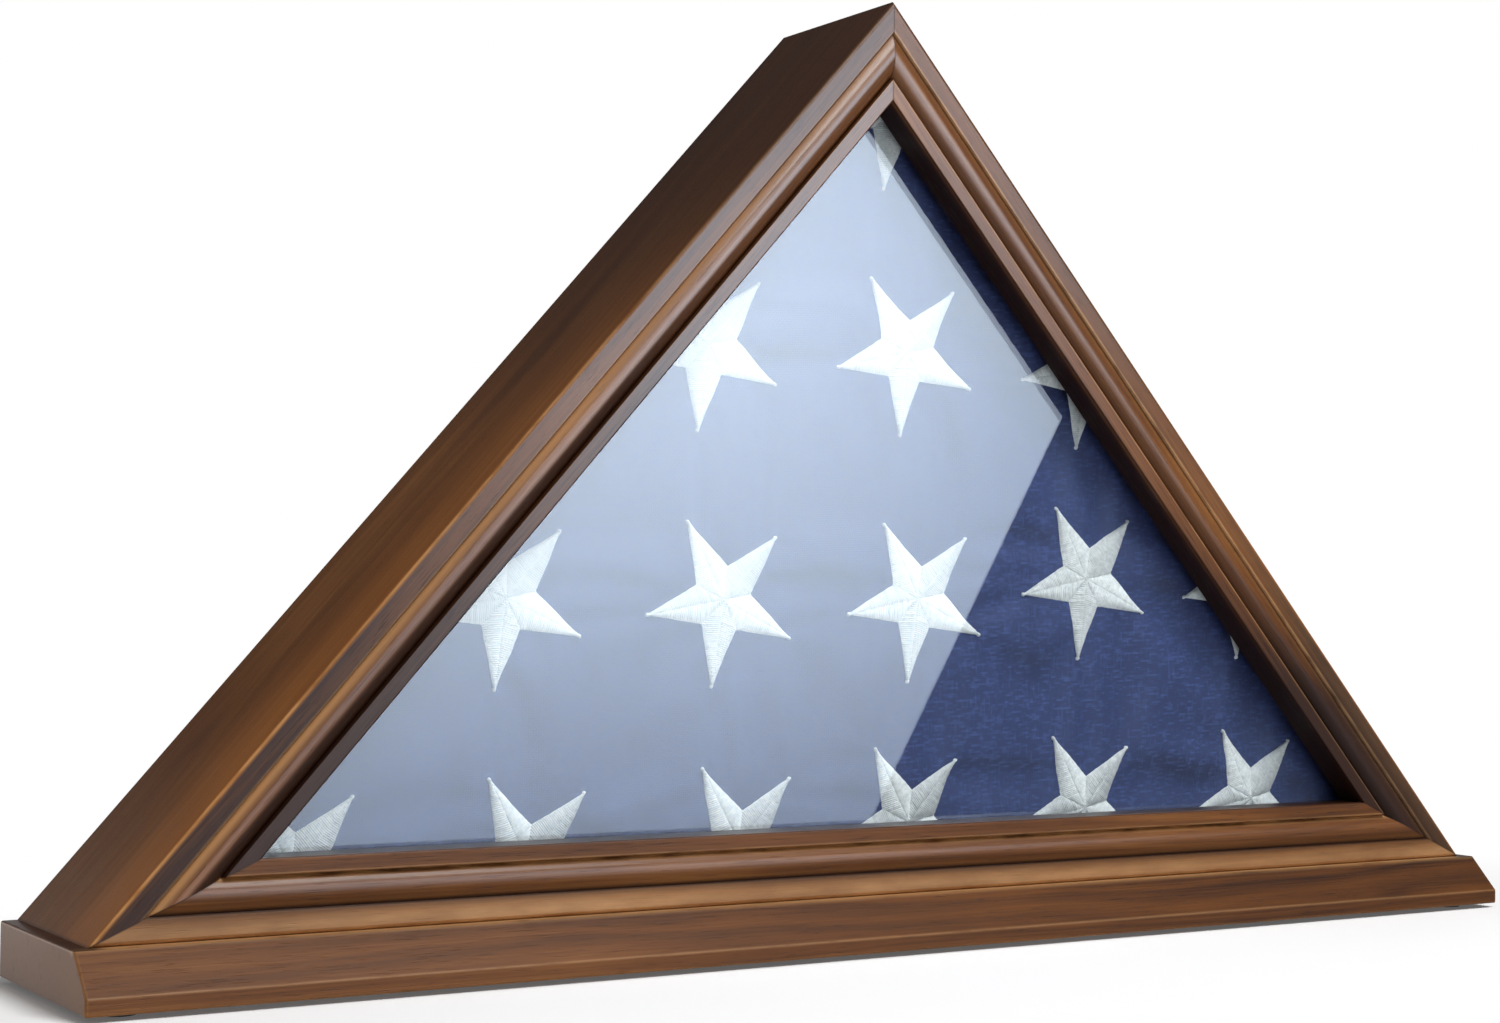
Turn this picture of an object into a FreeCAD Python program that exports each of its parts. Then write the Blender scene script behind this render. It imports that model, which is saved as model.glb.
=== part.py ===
import FreeCAD, Part
import math
import os
import re
import Sketcher

# Folded flag display case: three mitred side boards on a bevelled base, a bead moulding
# round the glass, a lift-out back held by turn buttons, and the folded flag inside.
# X runs right across the front, Y from front to back, Z up from the surface it stands on.
# The origin lies on that surface, under the middle of the whole object. Sizes in millimetres.

SIZES = {
    # Outer triangle of the side boards, and the boards themselves
    "case_width": 640.0,
    "case_height": 355.0,
    "case_depth": 83.0,
    "board_thickness": 9.0,
    "arris_radius": 1.6,
    "back_arris_radius": 0.8,
    "quirk_chamfer": 0.9,
    # Bead moulding that frames the glass, from the boards inwards
    "quirk_depth": 1.0,
    "bead_width": 11.6,
    "bead_rise": 3.0,
    "groove_depth": 3.2,
    "strip_step": 0.3,
    "strip_depth": 0.2,
    "strip_width": 5.8,
    "strip_round": 0.4,
    "lip_radius": 0.7,
    "cheek_width": 0.2,
    "moulding_depth": 14.0,
    # Glass and the strips that hold it from behind
    "glass_thickness": 2.0,
    "glass_clearance": 1.0,
    "stop_width": 7.0,
    "stop_depth": 6.0,
    # Lift-out back and the ledges it closes against
    "panel_thickness": 3.0,
    "panel_clearance": 0.5,
    "ledge_width": 8.0,
    "ledge_depth": 10.0,
    # Base board with a long bevel along its front
    "base_overhang": 6.0,
    "base_nose": 17.0,
    "base_bevel_top": 3.2,
    "base_thickness": 20.0,
    "base_lip": 6.0,
    "base_arris_radius": 0.9,
    # Rubber feet
    "foot_radius": 7.0,
    "foot_taper": 0.6,
    "foot_thickness": 2.0,
    "foot_from_edge": 16.0,
    # Turn buttons and their pivot screws
    "button_radius": 3.8,
    "button_reach": 14.0,
    "button_thickness": 1.2,
    "button_gap": 0.15,
    "button_from_corner": 125.0,
    "ridge_length": 6.4,
    "ridge_width": 1.8,
    "ridge_height": 1.4,
    "ridge_round": 0.6,
    "pivot_radius": 1.5,
    "pivot_clearance": 0.05,
    "pivot_head_radius": 3.0,
    "pivot_head_height": 1.7,
    "pivot_head_round": 1.1,
    "pivot_bite": 12.0,
    # Cross recess in the screw heads
    "recess_length": 3.2,
    "recess_width": 0.9,
    "recess_depth": 0.9,
    # Countersunk screws through the base
    "base_screw_radius": 2.0,
    "base_screw_head_radius": 4.0,
    "base_screw_head_height": 2.4,
    "base_screw_sink": 0.5,
    "base_screw_cover": 2.0,
    "base_screw_inner": 90.0,
    "base_screw_outer": 235.0,
    "screw_point": 2.5,
    "bore_clearance": 0.05,
    # Brads that pin the strips to the boards
    "brad_radius": 0.7,
    "brad_cover": 3.5,
    "brad_from_corner": 180.0,
    # Splines across the three mitres
    "spline_thickness": 3.0,
    "spline_width": 8.0,
    "spline_setback": 12.0,
    "spline_cover": 1.9,
    # Folded flag and the stars worked on its front
    "flag_gap": 3.2,
    "flag_clearance": 0.35,
    "flag_corner_radius": 5.0,
    "flag_roll_width": 7.2,
    "flag_roll_depth": 4.6,
    "flag_swell_depth": 11.0,
    "flag_back_slope": 15.0,
    "star_radius": 34.0,
    "star_rise": 0.8,
    "star_turn": 43.0,
    "star_middle_across": 24.0,
    "star_middle_up": 118.5,
    "star_pitch_across": 89.6,
    "star_pitch_up": 94.2,
    "star_row_spread": 2.5,
    "star_row_lean": 5.4,
    "star_row_climb": 2.6,
}

# Places and radii that differ by less than this count as the same
SAME_PLACE = 1e-4

Vector = FreeCAD.Vector
doc = FreeCAD.newDocument("FlagCase")
sheet = doc.addObject("Spreadsheet::Sheet", "Sizes")
for row, (alias, size) in enumerate(SIZES.items(), start=1):
    sheet.set(f"A{row}", str(size))
    sheet.setAlias(f"A{row}", alias)
doc.recompute()


def bound(text):
    """The expression text, with every size in it read from the sheet."""
    return re.sub(r"[a-z_]+", lambda word: f"Sizes.{word[0]}" if word[0] in SIZES else word[0], text)


def number(text):
    """The value that an expression has now."""
    result = sheet.evalExpression(bound(text))
    return float(getattr(result, "Value", result))


def require(condition, message):
    if not condition:
        raise RuntimeError(message)


# Derived expressions shared by the pieces
LEG_ANGLE = "atan(case_height / (case_width / 2))"
LEG_LENGTH = "sqrt((case_width / 2) ^ 2 + case_height ^ 2)"
FOOT_MITRE = f"({LEG_ANGLE} / 2)"
APEX_MITRE = f"(90deg - {LEG_ANGLE})"
LIP_INSET = "(board_thickness + bead_width + strip_step + strip_width)"
SIGHT_INSET = f"({LIP_INSET} + cheek_width)"
GLASS_BACK = "(moulding_depth + glass_thickness)"
PANEL_FRONT = "(case_depth - panel_thickness)"
LEDGE_FRONT = f"({PANEL_FRONT} - ledge_depth)"
FLAG_FRONT = f"({GLASS_BACK} + flag_gap)"
BUTTON_STACK = "(2 * button_gap + button_thickness + pivot_head_height)"
FRONT_Y = f"(base_nose - (base_nose + case_depth + {BUTTON_STACK}) / 2)"
BASE_TOP = "(foot_thickness + base_thickness)"
BASE_LENGTH = "(case_width + 2 * base_overhang)"

# Work frames on the case: where each starts (x, z above the base) and its turn about Y.
# On a member the local X follows the outer edge and the local Z points into the triangle.
FRAMES = {
    "middle": ("0", "0", "0"),
    "bottom": ("-case_width / 2", "0", "0"),
    "left": ("0", "case_height", f"(180deg - {LEG_ANGLE})"),
    "right": ("case_width / 2", "0", f"(180deg + {LEG_ANGLE})"),
    "left_foot": ("-case_width / 2", "0", f"(360deg - {FOOT_MITRE})"),
    "right_foot": ("case_width / 2", "0", f"(180deg + {FOOT_MITRE})"),
    "apex": ("0", "case_height", "90deg"),
}

# Length, and mitre at the start and at the end, of each side of the triangle
MEMBERS = {
    "left": (LEG_LENGTH, APEX_MITRE, FOOT_MITRE),
    "right": (LEG_LENGTH, FOOT_MITRE, APEX_MITRE),
    "bottom": ("case_width", FOOT_MITRE, FOOT_MITRE),
}


def place(piece, frame, along="0", depth="0", inset="0"):
    """Sets a piece on a work frame, at a depth behind the front of the case."""
    x, z, turn = FRAMES[frame]
    if turn != "0":
        piece.Placement = FreeCAD.Placement(Vector(), FreeCAD.Rotation(Vector(0, 1, 0), 90))
        piece.setExpression("Placement.Rotation.Angle", bound(f"{turn} / 1deg"))
    across = f"{x} + ({along}) * cos({turn}) + ({inset}) * sin({turn})"
    up = f"{BASE_TOP} + {z} - ({along}) * sin({turn}) + ({inset}) * cos({turn})"
    piece.setExpression("Placement.Base.x", bound(across))
    piece.setExpression("Placement.Base.y", bound(f"{FRONT_Y} + {depth}"))
    piece.setExpression("Placement.Base.z", bound(up))
    return piece


def new_body(name):
    return doc.addObject("PartDesign::Body", name)


def new_sketch(body, plane):
    sketch = body.newObject("Sketcher::SketchObject", f"{body.Name}_sketch")
    support = next(item for item in body.Origin.OriginFeatures if item.Role == plane)
    sketch.AttachmentSupport = [(support, "")]
    sketch.MapMode = "FlatFace"
    return sketch


def hold(sketch, geometry, end, kind, text):
    """Holds one coordinate of a point of an edge at a distance from the sketch's origin."""
    if text == "0":
        axis = -2 if kind == "DistanceX" else -1
        sketch.addConstraint(Sketcher.Constraint("PointOnObject", geometry, end, axis))
        return
    index = sketch.addConstraint(Sketcher.Constraint(kind, -1, 1, geometry, end, number(text)))
    sketch.setExpression(f"Constraints[{index}]", bound(text))


def add_outline(sketch, points, arcs=None):
    """Closed outline through points. An edge in arcs bends by a rise, with one centre coordinate held."""
    corners = [Vector(number(across), number(up), 0) for across, up in points]
    ends = []
    for index, start in enumerate(corners):
        finish = corners[(index + 1) % len(corners)]
        if arcs and index in arcs:
            rise, kind, centre = arcs[index]
            chord = finish - start
            crown = (start + finish) * 0.5 + Vector(-chord.y, chord.x, 0).normalize() * number(rise)
            geometry = sketch.addGeometry(Part.Arc(start, crown, finish))
            forward = sketch.getPoint(geometry, 1).isEqual(start, SAME_PLACE)
            hold(sketch, geometry, 3, kind, centre)
            ends.append((geometry, 1, 2) if forward else (geometry, 2, 1))
        else:
            ends.append((sketch.addGeometry(Part.LineSegment(start, finish)), 1, 2))
    for index, (geometry, first, _) in enumerate(ends):
        before, _, last = ends[index - 1]
        sketch.addConstraint(Sketcher.Constraint("Coincident", before, last, geometry, first))
        hold(sketch, geometry, first, "DistanceX", points[index][0])
        hold(sketch, geometry, first, "DistanceY", points[index][1])


def add_circle(sketch, across, up, radius):
    centre = Vector(number(across), number(up), 0)
    geometry = sketch.addGeometry(Part.Circle(centre, Vector(0, 0, 1), number(radius)))
    hold(sketch, geometry, 3, "DistanceX", across)
    hold(sketch, geometry, 3, "DistanceY", up)
    index = sketch.addConstraint(Sketcher.Constraint("Radius", geometry, number(radius)))
    sketch.setExpression(f"Constraints[{index}]", bound(radius))


def add_pad(body, sketch, length, reverse=False, symmetric=False):
    pad = body.newObject("PartDesign::Pad", f"{body.Name}_pad")
    pad.Profile = sketch
    pad.SideType = "Symmetric" if symmetric else "One side"
    pad.Reversed = reverse
    pad.setExpression("Length", bound(length))
    doc.recompute()
    return pad


def add_pocket(body, sketch, depth=None, reverse=False):
    """Pocket of a set depth, or right through both ways, that has to take material away."""
    before = body.Shape.Volume
    pocket = body.newObject("PartDesign::Pocket", f"{body.Name}_pocket")
    pocket.Profile = sketch
    pocket.Reversed = reverse
    if depth is None:
        pocket.Type = "ThroughAll"
        pocket.SideType = "Symmetric"
    else:
        pocket.setExpression("Length", bound(depth))
    doc.recompute()
    require(pocket.Shape.Volume < before, f"{body.Name}: a pocket cuts nothing")
    return pocket


def add_fillet(body, base, radius, wanted):
    """Rounds the edges of a feature that a test picks."""
    names = [f"Edge{index}" for index, edge in enumerate(base.Shape.Edges, start=1) if wanted(edge)]
    require(names, f"{body.Name}: no edge to round")
    fillet = body.newObject("PartDesign::Fillet", f"{body.Name}_fillet")
    fillet.Base = (base, names)
    fillet.setExpression("Radius", bound(radius))
    doc.recompute()
    return fillet


def lies_on(y, z):
    """Test for the edges that run along X at one depth and height."""
    def wanted(edge):
        return all(math.hypot(vertex.Y - y, vertex.Z - z) < SAME_PLACE for vertex in edge.Vertexes)
    return wanted


def group(label, pieces):
    compound = doc.addObject("Part::Compound", label)
    compound.Links = pieces
    return compound


def cut(label, base, tool):
    piece = doc.addObject("Part::Cut", label)
    piece.Base = base
    piece.Tool = tool
    return piece


def mitred(name, side, profile, arcs=None, rounds=()):
    """One side of the triangle: a profile (depth, inset) run along the side and mitred at both ends."""
    length, start_mitre, end_mitre = MEMBERS[side]
    body = new_body(name)
    section = new_sketch(body, "YZ_Plane")
    add_outline(section, profile, arcs)
    feature = add_pad(body, section, length)
    for radius, depth, inset in rounds:
        feature = add_fillet(body, feature, radius, lies_on(number(depth), number(inset)))
    reach = f"(2 * {SIGHT_INSET})"
    mitres = new_sketch(body, "XZ_Plane")
    add_outline(mitres, [("0", "0"), (f"{reach} / tan({start_mitre})", reach), ("0", reach)])
    add_outline(mitres, [(length, "0"), (length, reach), (f"{length} - {reach} / tan({end_mitre})", reach)])
    add_pocket(body, mitres)
    return place(body, side)


def strip_profile(depth, thickness, width):
    """Square strip against the boards' inner faces."""
    inner = f"(board_thickness + {width})"
    back = f"({depth} + {thickness})"
    return [(depth, "board_thickness"), (back, "board_thickness"), (back, inner), (depth, inner)]


def triangle(inset):
    """Corners of the case's triangle drawn in by an inset: left foot, right foot, apex."""
    half = f"(case_width / 2 - ({inset}) / tan({FOOT_MITRE}))"
    return [(f"-{half}", inset), (half, inset), ("0", f"case_height - ({inset}) / cos({LEG_ANGLE})")]


def triangular_sheet(name, inset, thickness, depth):
    body = new_body(name)
    outline = new_sketch(body, "XZ_Plane")
    add_outline(outline, triangle(inset))
    add_pad(body, outline, thickness, reverse=True)
    return place(body, "middle", depth=depth)


def add_recess(body, plane):
    """Cross recess in a screw's head, which lies on the body's own plane."""
    long, narrow = "recess_length / 2", "recess_width / 2"
    quarter = [(long, narrow), (narrow, narrow), (narrow, long)]
    corners = []
    for across_sign, up_sign in (("", ""), ("-", ""), ("-", "-"), ("", "-")):
        turned = quarter if across_sign == up_sign else quarter[::-1]
        corners += [(f"{across_sign}{across}", f"{up_sign}{up}") for across, up in turned]
    cross = new_sketch(body, plane)
    add_outline(cross, corners)
    add_pocket(body, cross, "recess_depth", reverse=True)


def turned_body(name, plane, profile):
    """Body turned about its sketch's upright axis from a half profile (radius, height)."""
    body = new_body(name)
    half = new_sketch(body, plane)
    add_outline(half, profile)
    turned = body.newObject("PartDesign::Revolution", f"{name}_turned")
    turned.Profile = half
    turned.ReferenceAxis = (half, ["V_Axis"])
    doc.recompute()
    return body, turned


def pivot_screw(name):
    """Round-headed screw pointing forwards, its head's top at the origin."""
    neck = "-pivot_head_height"
    point = f"(-{BUTTON_STACK} - pivot_bite)"
    shoulder = f"({point} + screw_point)"
    body, turned = turned_body(name, "XY_Plane", [
        ("0", "0"), ("pivot_head_radius", "0"), ("pivot_head_radius", neck),
        ("pivot_radius", neck), ("pivot_radius", shoulder), ("0", point),
    ])
    head_edge = number("pivot_head_radius")
    add_fillet(body, turned, "pivot_head_round",
               lambda edge: edge.Closed and abs(edge.Curve.Radius - head_edge) < SAME_PLACE
               and abs(edge.Vertexes[0].Y) < SAME_PLACE)
    add_recess(body, "XZ_Plane")
    return body


def base_screw_profile(clearance):
    """Half profile of a countersunk screw that points up from its head, larger by a clearance."""
    head, shank = f"(base_screw_head_radius + {clearance})", f"(base_screw_radius + {clearance})"
    tip = f"(base_thickness - base_screw_sink + board_thickness - base_screw_cover + {clearance})"
    return [("0", "0"), (head, "0"), (shank, f"base_screw_head_height + {clearance}"),
            (shank, f"{tip} - screw_point"), ("0", tip)]


def rod(name, radius, height):
    cylinder = doc.addObject("Part::Cylinder", name)
    cylinder.setExpression("Radius", bound(radius))
    cylinder.setExpression("Height", bound(height))
    return cylinder


def along_both_ends(side, distance):
    """The two places on a side that lie one distance from its corners."""
    return distance, f"{MEMBERS[side][0]} - {distance}"


# Splines across the mitres, covered on the inside; the same blocks cut their own grooves
splines = []
for corner, mitre in (("left_foot", FOOT_MITRE), ("right_foot", FOOT_MITRE), ("apex", APEX_MITRE)):
    spline = doc.addObject("Part::Box", f"{corner}_spline")
    spline.setExpression("Length", bound("spline_thickness"))
    spline.setExpression("Width", bound("case_depth - 2 * spline_setback"))
    spline.setExpression("Height", bound("spline_width"))
    along = f"(board_thickness - spline_cover) / sin({mitre}) - spline_thickness"
    splines.append(place(spline, corner, along, "spline_setback", "-spline_width / 2"))

# Brads through the glass stops and the back ledges into the boards, and their bores
brads, bores = [], []
for side in MEMBERS:
    for strip, width, depth in (
        ("stop", "stop_width", f"{GLASS_BACK} + stop_depth / 2"),
        ("ledge", "ledge_width", f"{LEDGE_FRONT} + ledge_depth / 2"),
    ):
        for end, along in enumerate(along_both_ends(side, "brad_from_corner")):
            name = f"{side}_{strip}_brad_{end}"
            length = f"board_thickness - brad_cover + {width}"
            brad = rod(name, "brad_radius", length)
            brads.append(place(brad, side, along, depth, "brad_cover"))
            bore = rod(f"{name}_bore", "brad_radius + bore_clearance", length)
            bores.append(place(bore, side, along, depth, "brad_cover"))

# Turn buttons: a flat finger on a pivot screw, with a ridge for the thumb
BUTTON_ENDS = {
    "left": ("upper", "lower"),
    "right": ("lower", "upper"),
    "bottom": ("left", "right"),
}


def turn_button(name):
    body = new_body(name)
    finger = new_sketch(body, "XZ_Plane")
    edge = "button_radius"
    add_outline(
        finger,
        [(edge, "0"), (edge, "button_reach"), (f"-{edge}", "button_reach"), (f"-{edge}", "0")],
        {1: (f"-{edge}", "DistanceY", "button_reach"), 3: (f"-{edge}", "DistanceY", "0")},
    )
    add_circle(finger, "0", "0", "pivot_radius + pivot_clearance")
    add_pad(body, finger, "button_thickness", reverse=True)
    ridge = new_sketch(body, "XZ_Plane")
    half = "ridge_length / 2"
    low, high = "button_reach - ridge_width / 2", "button_reach + ridge_width / 2"
    add_outline(ridge, [(half, low), (half, high), (f"-{half}", high), (f"-{half}", low)])
    raised = add_pad(body, ridge, "button_thickness + ridge_height", reverse=True)
    top = number("button_thickness + ridge_height")
    for level in (low, high):
        raised = add_fillet(body, raised, "ridge_round", lies_on(top, number(level)))
    return body


BORE_RADIUS = "pivot_radius + bore_clearance"
BORE_END = "-pivot_bite - bore_clearance"
PIVOT_BORE = [("0", "button_gap"), (BORE_RADIUS, "button_gap"), (BORE_RADIUS, BORE_END), ("0", BORE_END)]
BOARD_MIDDLE = "board_thickness / 2"
turn_buttons, pivot_screws = [], []
for side, ends in BUTTON_ENDS.items():
    for end, along in zip(ends, along_both_ends(side, "button_from_corner")):
        button = turn_button(f"turn_button_{side}_{end}")
        turn_buttons.append(place(button, side, along, "case_depth + button_gap", BOARD_MIDDLE))
        screw = pivot_screw(f"pivot_screw_{side}_{end}")
        pivot_screws.append(place(screw, side, along, f"case_depth + {BUTTON_STACK}", BOARD_MIDDLE))
        bore, _ = turned_body(f"pivot_bore_{side}_{end}", "XY_Plane", PIVOT_BORE)
        bores.append(place(bore, side, along, "case_depth", BOARD_MIDDLE))

# Countersunk screws up through the base into the bottom board
BASE_SCREW_ROW = ("-base_screw_outer", "-base_screw_inner", "base_screw_inner", "base_screw_outer")
SINK_MOUTH = [("0", "-base_screw_sink"), ("base_screw_head_radius + bore_clearance", "-base_screw_sink")]
BASE_SCREW_BORE = SINK_MOUTH + base_screw_profile("bore_clearance")[1:]
base_screws = []
for index, along in enumerate(BASE_SCREW_ROW):
    seat = (along, "case_depth / 2", "-base_thickness + base_screw_sink")
    screw, _ = turned_body(f"base_screw_{index}", "XZ_Plane", base_screw_profile("0"))
    add_recess(screw, "XY_Plane")
    base_screws.append(place(screw, "middle", *seat))
    bore, _ = turned_body(f"base_screw_bore_{index}", "XZ_Plane", BASE_SCREW_BORE)
    bores.append(place(bore, "middle", *seat))

fixing_bores = group("fixing_bores", bores)
spline_grooves = group("spline_grooves", splines)

# Side boards: eased outer edges, and the outer half of the dark quirk along the inner front edge
BOARD_PROFILE = [
    ("0", "0"), ("case_depth", "0"), ("case_depth", "board_thickness"),
    ("quirk_chamfer", "board_thickness"), ("0", "board_thickness - quirk_chamfer"),
]
BOARD_ROUNDS = [("arris_radius", "0", "0"), ("back_arris_radius", "case_depth", "0")]

# Bead moulding: quirk, a convex bead that falls steeply into a groove, a narrow flat strip level
# with the boards, and the cheek that runs back to the glass
BEAD_CHORD = "sqrt(bead_width ^ 2 + (groove_depth - quirk_depth) ^ 2)"
BEAD_RADIUS = f"(({BEAD_CHORD} ^ 2 / 4 + bead_rise ^ 2) / (2 * bead_rise))"
BEAD_CENTRE = f"((quirk_depth + groove_depth) / 2 + bead_width / {BEAD_CHORD} * ({BEAD_RADIUS} - bead_rise))"
BEAD_END = "(board_thickness + bead_width)"
STRIP_INSET = f"({BEAD_END} + strip_step)"
MOULDING_PROFILE = [
    ("moulding_depth", "board_thickness"),
    ("quirk_depth", "board_thickness"),
    ("groove_depth", BEAD_END),
    ("strip_depth", STRIP_INSET),
    ("strip_depth", LIP_INSET),
    ("moulding_depth", SIGHT_INSET),
]
MOULDING_ARCS = {1: ("bead_rise", "DistanceX", BEAD_CENTRE)}
MOULDING_ROUNDS = [("strip_round", "strip_depth", STRIP_INSET), ("lip_radius", "strip_depth", LIP_INSET)]

nodes = []
for side in MEMBERS:
    board = mitred(f"{side}_board_blank", side, BOARD_PROFILE, rounds=BOARD_ROUNDS)
    grooved = cut(f"{side}_board_grooved", board, spline_grooves)
    nodes.append(cut(f"{side}_side_board", grooved, fixing_bores))
    nodes.append(mitred(f"{side}_bead_moulding", side, MOULDING_PROFILE, MOULDING_ARCS, MOULDING_ROUNDS))
    stop = mitred(f"{side}_stop_blank", side, strip_profile(GLASS_BACK, "stop_depth", "stop_width"))
    nodes.append(cut(f"{side}_glass_stop", stop, fixing_bores))
    ledge = mitred(f"{side}_ledge_blank", side, strip_profile(LEDGE_FRONT, "ledge_depth", "ledge_width"))
    nodes.append(cut(f"{side}_back_ledge", ledge, fixing_bores))

nodes.append(triangular_sheet(
    "glass_pane", "(board_thickness + glass_clearance)", "glass_thickness", "moulding_depth"))
nodes.append(triangular_sheet(
    "back_panel", "(board_thickness + panel_clearance)", "panel_thickness", PANEL_FRONT))
nodes += turn_buttons
nodes.append(group("pivot_screws", pivot_screws))
nodes.append(group("base_screws", base_screws))
nodes.append(group("strip_brads", brads))
nodes.append(group("mitre_splines", splines))

# Base board: square ends, a narrow upright lip and a long bevel up to the foot of the case
base_body = new_body("base_blank")
base_section = new_sketch(base_body, "YZ_Plane")
add_outline(base_section, [
    ("-base_nose", "-base_thickness"), ("case_depth", "-base_thickness"), ("case_depth", "0"),
    ("-base_bevel_top", "0"), ("-base_nose", "base_lip - base_thickness"),
])
base_solid = add_pad(base_body, base_section, BASE_LENGTH, symmetric=True)
add_fillet(base_body, base_solid, "base_arris_radius", lambda edge: True)
nodes.append(cut("base_board", place(base_body, "middle"), fixing_bores))

# Rubber feet under the base's corners, a little narrower where they stand
feet = []
FOOT_ACROSS = f"({BASE_LENGTH} / 2 - foot_from_edge)"
for index, (along, depth) in enumerate((
    (f"-{FOOT_ACROSS}", "foot_from_edge - base_nose"),
    (FOOT_ACROSS, "foot_from_edge - base_nose"),
    (f"-{FOOT_ACROSS}", "case_depth - foot_from_edge"),
    (FOOT_ACROSS, "case_depth - foot_from_edge"),
)):
    foot = doc.addObject("Part::Cone", f"foot_{index}")
    foot.setExpression("Radius1", bound("foot_radius - foot_taper"))
    foot.setExpression("Radius2", bound("foot_radius"))
    foot.setExpression("Height", bound("foot_thickness"))
    feet.append(place(foot, "middle", along, depth, f"-{BASE_TOP}"))
nodes.append(group("rubber_feet", feet))


def soft_triangle(inset, depth):
    """Wire of the case's triangle drawn in by an inset, with round corners, at a depth."""
    corners = [Vector(number(across), depth, number(up)) for across, up in triangle(str(inset))]
    radius = number("flag_corner_radius")
    edges, starts, finishes = [], [], []
    for index, corner in enumerate(corners):
        before = (corners[index - 1] - corner).normalize()
        after = (corners[(index + 1) % 3] - corner).normalize()
        half = before.getAngle(after) / 2
        middle = corner + (before + after).normalize() * (radius / math.sin(half) - radius)
        starts.append(corner + before * (radius / math.tan(half)))
        finishes.append(corner + after * (radius / math.tan(half)))
        edges.append(Part.Arc(starts[-1], middle, finishes[-1]).toShape())
    sides = [Part.LineSegment(finishes[i], starts[(i + 1) % 3]).toShape() for i in range(3)]
    return Part.Wire([edge for pair in zip(edges, sides) for edge in pair])


# Folded flag: flat front behind the glass, rolled edges, and a swell that fills the boards
FLAG_ROLL_ANGLES = (0, 40, 90)
front = number(FLAG_FRONT)
back = number(f"{PANEL_FRONT} - flag_clearance")
stop_inner = number("board_thickness + stop_width + flag_clearance")
stop_back = number(f"{GLASS_BACK} + stop_depth + flag_clearance")
ledge_inner = number("board_thickness + ledge_width + flag_clearance")
ledge_front = number(f"{LEDGE_FRONT} - flag_clearance")
fullest = number("board_thickness + flag_clearance")
swell = number("flag_swell_depth")
roll_width = number("flag_roll_width")
roll_depth = max(number("flag_roll_depth"), stop_back - front)
front_inset = stop_inner + roll_width
sections = []
for angle in map(math.radians, FLAG_ROLL_ANGLES):
    inset = front_inset - roll_width * math.sin(angle)
    sections.append(soft_triangle(inset, front + roll_depth * (1 - math.cos(angle))))
sections += [
    soft_triangle(fullest, front + roll_depth + swell),
    soft_triangle(fullest, ledge_front - swell),
    soft_triangle(ledge_inner, ledge_front),
    soft_triangle(ledge_inner + number("flag_back_slope"), back),
]
flag = doc.addObject("Part::Feature", "folded_flag")
flag.Shape = Part.makeLoft(sections, True, True)
nodes.append(place(flag, "middle"))


# A five-pointed star has ten corners, by turns at its points and where its arms meet
STAR_STEP = math.pi / 5
STAR_WAIST = math.sin(STAR_STEP / 2) / math.sin(1.5 * STAR_STEP)
# A star of which less than this share would show is left off
LEAST_STAR_SHARE = 0.02
# Folding has moved some stars from their even places: row, column, and the move across and up as
# shares of the pitch
STAR_MOVES = {
    (1, -1): (-0.03, 0.03),
    (1, 0): (0.02, 0.02),
    (1, 1): (0.07, -0.03),
    (0, -2): (-0.05, 0.03),
    (0, 0): (0.03, -0.02),
    (0, 1): (0.01, 0.05),
    (0, 2): (0.01, 0.02),
    (-1, -3): (-0.03, 0.01),
    (-1, -2): (0.0, -0.03),
    (-1, -1): (0.03, -0.04),
    (-1, 0): (-0.07, -0.01),
    (-1, 1): (-0.05, -0.01),
    (-1, 2): (0.0, -0.03),
}


def star(across, up):
    """Five-pointed star worked on the flag's front, standing proud of it."""
    radius = number("star_radius")
    points = []
    for corner in range(10):
        angle = math.radians(number("star_turn")) + corner * STAR_STEP
        reach = radius * STAR_WAIST if corner % 2 else radius
        points.append(Vector(across + reach * math.sin(angle), front, up + reach * math.cos(angle)))
    outline = Part.makePolygon(points + points[:1])
    return Part.Face(outline).extrude(Vector(0, -number("star_rise"), 0))


# Stars in leaning rows that spread a little upwards, cut off where the flag's front rolls away
front_face = Part.Face(soft_triangle(front_inset, front))
front_prism = front_face.extrude(Vector(0, -2 * number("star_rise"), 0))
least_volume = LEAST_STAR_SHARE * star(0, 0).Volume
most_rows = math.ceil(number("case_height / star_pitch_up"))
most_columns = math.ceil(number("case_width / star_pitch_across"))
stars = []
for row in range(-most_rows, most_rows + 1):
    for column in range(-most_columns, most_columns + 1):
        move_across, move_up = STAR_MOVES.get((row, column), (0.0, 0.0))
        steps = column + move_across
        across = number(f"star_middle_across + {steps} * star_pitch_across - {row} * star_row_lean")
        climb = number(f"{column} * star_row_climb + {row ** 2} * star_row_spread")
        lift = number(f"{row} * star_pitch_up + {move_up} * star_pitch_across")
        up = number("star_middle_up") + lift + climb
        shown = star(across, up).common(front_prism)
        stars += [solid for solid in shown.Solids if solid.Volume > least_volume]
embroidery = doc.addObject("Part::Feature", "embroidered_stars")
embroidery.Shape = Part.makeCompound(stars)
nodes.append(place(embroidery, "middle"))

doc.recompute()
for item in doc.Objects:
    require(not {"Invalid", "Error"} & set(item.State), f"{item.Name}: {item.State}")
for node in nodes:
    require(not node.Shape.isNull() and node.Shape.isValid(), f"{node.Label}: bad shape")
    require(node.Shape.Solids, f"{node.Label}: no solid")

os.makedirs("parts", exist_ok=True)
for node in nodes:
    node.Shape.exportStep(f"parts/{node.Label}.step")
print(f"{len(nodes)} nodes written")
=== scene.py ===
import math

import bmesh
import bpy
from mathutils import Matrix, Vector


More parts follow.
